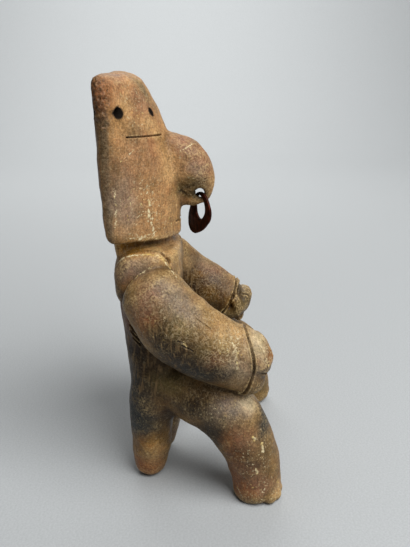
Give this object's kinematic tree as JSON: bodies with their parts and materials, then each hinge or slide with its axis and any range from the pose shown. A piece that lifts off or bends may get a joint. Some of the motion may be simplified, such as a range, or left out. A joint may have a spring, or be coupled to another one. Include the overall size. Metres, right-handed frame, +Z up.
{
  "type": "seated figure",
  "caption": "Hand-modelled earthenware seated figure with a slab head, tubular arms, splayed legs and a metal nose ring; stands on its feet and rear supports.",
  "frame": {"origin": "centre of the bounding box's underside, on the plane the soles stand on", "axes": "+Z up, the face looks along -Y, the figure's right side is -X"},
  "size_m": [0.1083, 0.0886, 0.2],
  "materials": {
    "burnished_earthenware": "burnished, unglazed, fire-clouded",
    "dark_metal": "oxidised copper alloy, nearly black"
  },
  "bodies": {
    "root": {"clay_figure": "burnished_earthenware", "nose_ring": "dark_metal"}
  },
  "joints": []
}
